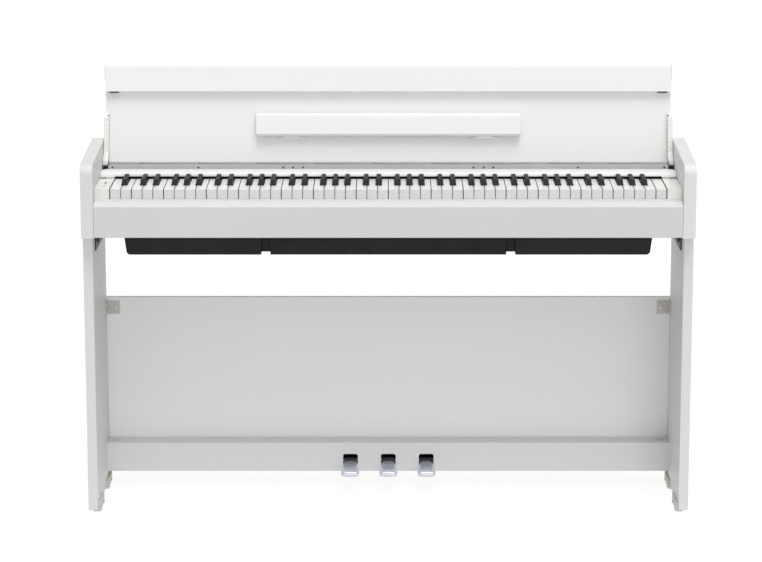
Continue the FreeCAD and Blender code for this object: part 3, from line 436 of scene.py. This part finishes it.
def dress_nodes():
    slots = {row["node"]: row["material_slot"] for row in frame["record"]["subparts"]}
    for name, thing in NODES.items():
        thing.data.materials.clear()
        material = SLOT_MATERIALS[slots[name]]
        # painted light and shade: the listed boards take a lighter or darker copy of the white film
        if name in FILM_PAINTED_LIGHT_AND_SHADE:
            material = PAINTED_LIGHT_FILMS[FILM_PAINTED_LIGHT_AND_SHADE[name]]
        if name in NEUTRAL_NODES:
            material = NEUTRAL_PLASTIC
        thing.data.materials.append(material)
        if name.startswith("white_keys"):
            soften(thing, 0.9 * MM, 3)
        elif name.startswith("black_keys"):
            soften(thing, 0.8 * MM, 3)
        elif name in BEVELS:
            soften(thing, BEVELS[name] * MM, 3)


# ---------------------------------------------------------------- added pieces

def pedal_shape(bm, middle, rear, nose, top, low, wide_rear, wide_nose):
    """A lever lofted from rounded sections, widening evenly to a thick round nose."""
    stations = 26
    around = 28
    long = rear - nose
    rings = []
    for i in range(stations):
        t = i / (stations - 1)                       # 0 at the nose's tip
        s = (1 - math.cos(t * math.pi / 2)) ** 0.85  # closer together at the nose
        y = nose + long * s
        narrowing = max(0.0, (s * long - 0.010) / (long - 0.010))
        half = wide_nose + (wide_rear - wide_nose) * narrowing
        tip = min(1.0, (s * long) / 0.012)
        half *= math.sqrt(max(0.0, 1 - (1 - tip) ** 2)) * 0.36 + 0.64
        thick_tip = min(1.0, (s * long) / 0.008)
        bulge = math.sqrt(max(0.04, 1 - (1 - thick_tip) ** 2))
        behind_nose = max(0.0, min(1.0, (s * long - 0.014) / 0.014))
        floor = low + 0.006 * behind_nose
        height = (top - floor) * bulge
        centre = (top + floor) / 2 - (1 - bulge) * 0.001
        ring = []
        for k in range(around):
            a = 2 * math.pi * k / around
            c, d = math.cos(a), math.sin(a)
            x = half * math.copysign(abs(c) ** 0.45, c)
            z = height / 2 * math.copysign(abs(d) ** 0.6, d)
            ring.append(bm.verts.new((middle + x, y, centre + z)))
        rings.append(ring)
    for lower, upper in zip(rings, rings[1:]):
        bridge(bm, lower, upper)
    bm.faces.new(list(reversed(rings[0])))
    bm.faces.new(rings[-1])


def pedals():
    """Each lever ends in a bored eye that turns on the pivot rod."""
    for side in ("left", "centre", "right"):
        node = f"pedal_{side}"
        low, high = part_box(node)
        middle = (low.x + high.x) / 2
        half = (high.x - low.x) / 2
        _, axis_y, axis_z = JOINTS[f"{node}_pivot"]["pos_m"]

        def make(bm):
            pedal_shape(bm, middle, axis_y - 0.0034, low.y + 0.0003, high.z - 0.0002,
                        low.z + 0.0002, half * 0.65, half)
            eye = facing((1, 0, 0), (middle, axis_y, axis_z))
            sleeve(bm, 0.00275, 0.0045, -half * 0.6, half * 0.6, eye, 40)
        piece(f"pedal_lever_{side}", make, "chrome", node, (node,))


def pedal_tunnel_painted_shade():
    """Painted shade: a black lining of the three tunnels behind the openings of the pedal box, darkening them as
    shade would.
    """
    front_low, front_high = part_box("pedal_box_front")
    rear = front_high.y + 0.038
    floor = front_low.z + 0.0042
    wall = 0.001
    inner = 0.0174
    top = floor + 0.0370

    def make(bm):
        for side in ("left", "centre", "right"):
            low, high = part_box(f"pedal_{side}")
            middle = (low.x + high.x) / 2
            near = front_high.y + 0.0001
            for sign in (-1, 1):
                edges = sorted((middle + sign * inner, middle + sign * (inner + wall)))
                slab(bm, (edges[0], near, floor), (edges[1], rear, top))
            slab(bm, (middle - inner, near, top - wall), (middle + inner, rear, top))
            slab(bm, (middle - inner, rear - wall, floor), (middle + inner, rear, top - wall))
    # painted shade: black felt tunnels stand in for the shade inside the pedal box
    piece("pedal_box_painted_shade_liner", make, "black_felt", "root")


def bracket_screws():
    """Cross-head screws in the corner brackets of the back panel."""
    face_low, face_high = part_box("panel_brackets")
    y_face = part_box("back_panel")[0].y - 0.002
    middle_z = (face_low.z + face_high.z) / 2

    def make(bm):
        for sign in (-1, 1):
            x = sign * (face_high.x - 0.021)
            screw_head(bm, facing((0, -1, 0), (x, y_face, middle_z)), 0.0036, 0.0016)
            for lift in (-0.0105, 0.0095):
                place = (sign * (face_high.x - 0.002), y_face - 0.0146, middle_z + lift)
                screw_head(bm, facing((-sign, 0, 0), place), 0.0034, 0.0015)
    piece("corner_screw_heads", make, "steel", "root", ("bracket_screws",))


def screw_caps():
    """Domed caps with a stepped rim over the screws of the pedal box."""
    low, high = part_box("screw_caps")
    radius = (high.y - low.y) / 2
    tall = high.z - low.z

    def make(bm):
        for sign in (-1, 1):
            place = (sign * (high.x - radius), (low.y + high.y) / 2, low.z)
            profile = [(radius, 0), (radius, tall * 0.45), (radius * 0.95, tall * 0.6),
                       (radius * 0.86, tall * 0.62), (radius * 0.8, tall * 0.85),
                       (radius * 0.55, tall * 0.96), (radius * 0.2, tall)]
            lathe(bm, profile, facing((0, 0, 1), place), 40)
    piece("pedal_box_caps", make, "beige_plastic", "root", ("screw_caps",))


def hinge_screws():
    """Small screws in the upright face of the fixed hinge leaf."""
    low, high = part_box("hinge_leaf_fixed")
    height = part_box("rear_cover")[1].z + 0.0035
    ends = high.x - 0.009

    def make(bm):
        for x in (0.193, 0.216, 0.238, 0.430, ends):
            for sign in (-1, 1):
                screw_head(bm, facing((0, -1, 0), (sign * x, low.y + 0.0002, height)),
                           0.0022, 0.0009)
    piece("lid_hinge_screws", make, "black_steel", "root")


def hinge_arm_details():
    """Dark stops in a row along each arm's inner edge, and a dark washer round its pivot."""
    for side, sign in (("left", -1), ("right", 1)):
        low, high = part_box(f"hinge_arm_{side}")
        inner = low.x if sign > 0 else high.x

        def make(bm):
            for i in range(9):
                z = 0.026 + i * 0.010
                y = 0.0125 + (z - 0.026) * 0.05
                a = (inner - sign * 0.0002, y + 0.0012, z)
                b = (inner + sign * 0.0034, y + 0.0065, z + 0.0042)
                corners = [tuple(f(p, q) for p, q in zip(a, b)) for f in (min, max)]
                slab(bm, *corners, LID)
            pivot = LID @ Matrix.Translation((inner - sign * 0.0006, 0, 0))
            turn = Matrix.Rotation(math.copysign(math.pi / 2, sign), 4, "Y")
            flip = Matrix.Rotation(math.pi, 4, "X")
            sleeve(bm, 0.0016, 0.0042, -0.0004, 0.0014, pivot @ turn @ flip)
        made = piece(f"hinge_arm_marks_{side}", make, "black_plastic", "lid")
        soften(made, 0.0003)


def slider_details():
    """Painted shade: a black lining darkens the volume slot as shade would; and grip ribs across the knob."""
    low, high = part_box("volume_slider")
    middle = (low.x + high.x) / 2
    near = low.y + 0.0004
    far = near + 0.0552
    floor = low.z - 0.0009
    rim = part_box("end_block_left")[0].z + 0.0928

    def painted_slot_shade(bm):
        slab(bm, (middle - 0.0014, near, floor), (middle + 0.0014, far, floor + 0.0005))
        for sign in (-1, 1):
            edges = sorted((middle + sign * 0.00122, middle + sign * 0.00146))
            slab(bm, (edges[0], near, floor), (edges[1], far, rim))
    # painted shade: the black lining stands in for the shade inside the slot
    piece("volume_slot_painted_shade", painted_slot_shade, "black_plastic", "root")

    def ribs(bm):
        for i in (-1, 0, 1):
            y = (low.y + high.y) / 2 + i * 0.0022
            slab(bm, (low.x + 0.0012, y - 0.0004, high.z - 0.0002),
                 (high.x - 0.0012, y + 0.0004, high.z + 0.0004))
    soften(piece("slider_ribs", ribs, "white_plastic", "slider"), 0.0002)


def speaker_grilles():
    """Round perforated plates under the speaker holes."""
    for side, sign in (("left", -1), ("right", 1)):
        low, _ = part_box(f"speaker_box_{side}")
        speaker_low, speaker_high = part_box("speakers")
        radius = 0.054
        x = sign * (speaker_high.x - radius)
        y = (speaker_low.y + speaker_high.y) / 2

        def make(bm):
            at = facing((0, 0, -1), (x, y, low.z + 0.0012))
            for r in (0.0445, 0.0375, 0.0305, 0.0235, 0.0165, 0.0095):
                torus(bm, r, 0.0011, at, 56, 8)
            for spoke in range(6):
                turn = Matrix.Rotation(spoke * math.pi / 3, 4, "Z")
                slab(bm, (0.002, -0.0009, -0.0009), (0.0458, 0.0009, 0.0009), at @ turn)
            lathe(bm, [(0.0055, -0.0012), (0.0055, 0.0008), (0.004, 0.0012)], at, 24)
        piece(f"speaker_grille_{side}", make, "black_plastic", "root")


def torus(bm, radius, thick, matrix, around, section):
    rings = []
    for i in range(around):
        a = 2 * math.pi * i / around
        ring = []
        for k in range(section):
            b = 2 * math.pi * k / section
            r = radius + thick * math.cos(b)
            ring.append(bm.verts.new(matrix @ Vector(
                (r * math.cos(a), r * math.sin(a), thick * math.sin(b)))))
        rings.append(ring)
    for i in range(around):
        bridge(bm, rings[i], rings[(i + 1) % around])


def leg_bolts():
    """Round-headed bolts through the black angles into the legs and the key bed."""
    low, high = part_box("leg_brackets")

    def make(bm):
        for sign in (-1, 1):
            for y in (low.y + 0.030, high.y - 0.030):
                place = (sign * (high.x - 0.003), y, low.z + 0.018)
                screw_head(bm, facing((-sign, 0, 0), place), 0.0062, 0.0036)
                place = (sign * (high.x - 0.018), y, high.z - 0.005)
                screw_head(bm, facing((0, 0, -1), place), 0.0052, 0.003)
    piece("leg_bracket_bolts", make, "black_steel", "root")


def rear_screws():
    """Screws that hold the rear board and the back panel, seen from behind."""
    board_low, board_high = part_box("rear_board")
    panel_low, panel_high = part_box("back_panel")

    def make(bm):
        for sign in (-1, 1):
            for z in (board_low.z + 0.03, board_high.z - 0.03):
                place = (sign * (board_high.x - 0.02), board_high.y, z)
                screw_head(bm, facing((0, 1, 0), place), 0.0042, 0.0016)
        for i in range(5):
            x = (i - 2) * (board_high.x * 2 - 0.2) / 4
            place = (x, board_high.y, board_low.z + 0.012)
            screw_head(bm, facing((0, 1, 0), place), 0.0042, 0.0016)
        for sign in (-1, 1):
            for z in (panel_low.z + 0.03, panel_high.z - 0.03):
                place = (sign * (panel_high.x - 0.012), panel_high.y - 0.0018, z)
                screw_head(bm, facing((0, 1, 0), place), 0.0042, 0.0016)
    piece("rear_screw_heads", make, "steel", "root")


def sockets():
    """Power inlet and two jack sockets in the connector plate."""
    _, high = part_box("jack_panel")

    def make(bm):
        for x, radius in ((-0.120, 0.0039), (-0.090, 0.0033), (-0.064, 0.0033)):
            at = facing((0, 1, 0), (x, high.y, 0.618))
            torus(bm, radius + 0.0022, 0.0014, at, 36, 10)
            lathe(bm, [(radius, -0.008), (radius, -0.006), (radius * 0.4, -0.006),
                       (radius * 0.35, -0.001), (radius * 0.2, -0.0006)], at, 24)
    piece("socket_rings", make, "black_plastic", "root")


def foot_glides():
    """Thin round glides let into the soles of the feet."""
    low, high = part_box("feet")

    def make(bm):
        for sign in (-1, 1):
            for y in (low.y + 0.014, low.y + 0.071, high.y - 0.071, high.y - 0.014):
                at = facing((0, 0, 1), (sign * (high.x - 0.0095), y, 0.0001))
                lathe(bm, [(0.006, 0), (0.007, 0.0006), (0.007, 0.0014)], at, 28)
    piece("foot_glides", make, "black_plastic", "root")


# ---------------------------------------------------------------- studio

# a pale dome, brighter round the horizon and below than overhead, and two broad suns:
# a high key light and a weak fill from in front
DOME_FROM = 0.0
DOME_TO = 0.4
DOME_LOW = 0.68
DOME_HIGH = 0.50
SUNS = (
    ("key_light", 1.8, 36, (0.10, -0.32, 0.94)),
    ("fill_light", 0.45, 30, (0.15, -0.95, 0.22)),
)


def studio():
    floor_mesh = bpy.data.meshes.new("studio_floor")
    bm = bmesh.new()
    bmesh.ops.create_grid(bm, x_segments=1, y_segments=1, size=120)
    bm.to_mesh(floor_mesh)
    bm.free()
    floor = bpy.data.objects.new("studio_floor", floor_mesh)
    bpy.context.scene.collection.objects.link(floor)
    paint = Surface("studio_floor_paint", 0.9, Specular_IOR_Level=0.0)
    paint.colour(paint.ramp(paint.noise(0.8, 2), (0.20, 0.20, 0.20), (0.21, 0.21, 0.21)))
    paint.shader.inputs["Emission Color"].default_value = (1, 1, 1, 1)
    paint.shader.inputs["Emission Strength"].default_value = 0.86
    floor_mesh.materials.append(paint.material)
    floor.visible_diffuse = False

    world = bpy.data.worlds.new("studio")
    world.use_nodes = True
    tree = world.node_tree
    place = tree.nodes.new("ShaderNodeTexCoord")
    axes = tree.nodes.new("ShaderNodeSeparateXYZ")
    tree.links.new(place.outputs["Generated"], axes.inputs["Vector"])
    lift = tree.nodes.new("ShaderNodeMapRange")
    lift.inputs["From Min"].default_value = DOME_FROM
    lift.inputs["From Max"].default_value = DOME_TO
    lift.inputs["To Min"].default_value = DOME_LOW
    lift.inputs["To Max"].default_value = DOME_HIGH
    tree.links.new(axes.outputs["Z"], lift.inputs["Value"])
    background = tree.nodes["Background"]
    background.inputs["Color"].default_value = (1.0, 1.0, 1.0, 1)
    tree.links.new(lift.outputs["Result"], background.inputs["Strength"])
    bpy.context.scene.world = world

    for name, energy, spread, source in SUNS:
        sun = bpy.data.lights.new(name, "SUN")
        sun.energy = energy
        sun.angle = math.radians(spread)
        light = bpy.data.objects.new(name, sun)
        light.rotation_euler = Vector(source).to_track_quat("Z", "Y").to_euler()
        bpy.context.scene.collection.objects.link(light)


def camera():
    """A long lens from in front, a little above the instrument."""
    data = bpy.data.cameras.new("camera")
    data.sensor_width = 36
    data.lens = 129.44
    data.shift_x = -0.0096
    data.shift_y = -0.06
    data.clip_end = 300
    made = bpy.data.objects.new("camera", data)
    made.location = (0, -6.069, 1.844)
    made.rotation_euler = Euler((math.radians(90 - 11.47), 0, 0))
    bpy.context.scene.collection.objects.link(made)
    bpy.context.scene.camera = made


camera()
dress_nodes()
pedals()
pedal_tunnel_painted_shade()
bracket_screws()
screw_caps()
hinge_screws()
hinge_arm_details()
slider_details()
speaker_grilles()
leg_bolts()
rear_screws()
sockets()
foot_glides()
studio()
bpy.context.scene.view_settings.view_transform = "Standard"

bpy.context.view_layer.update()
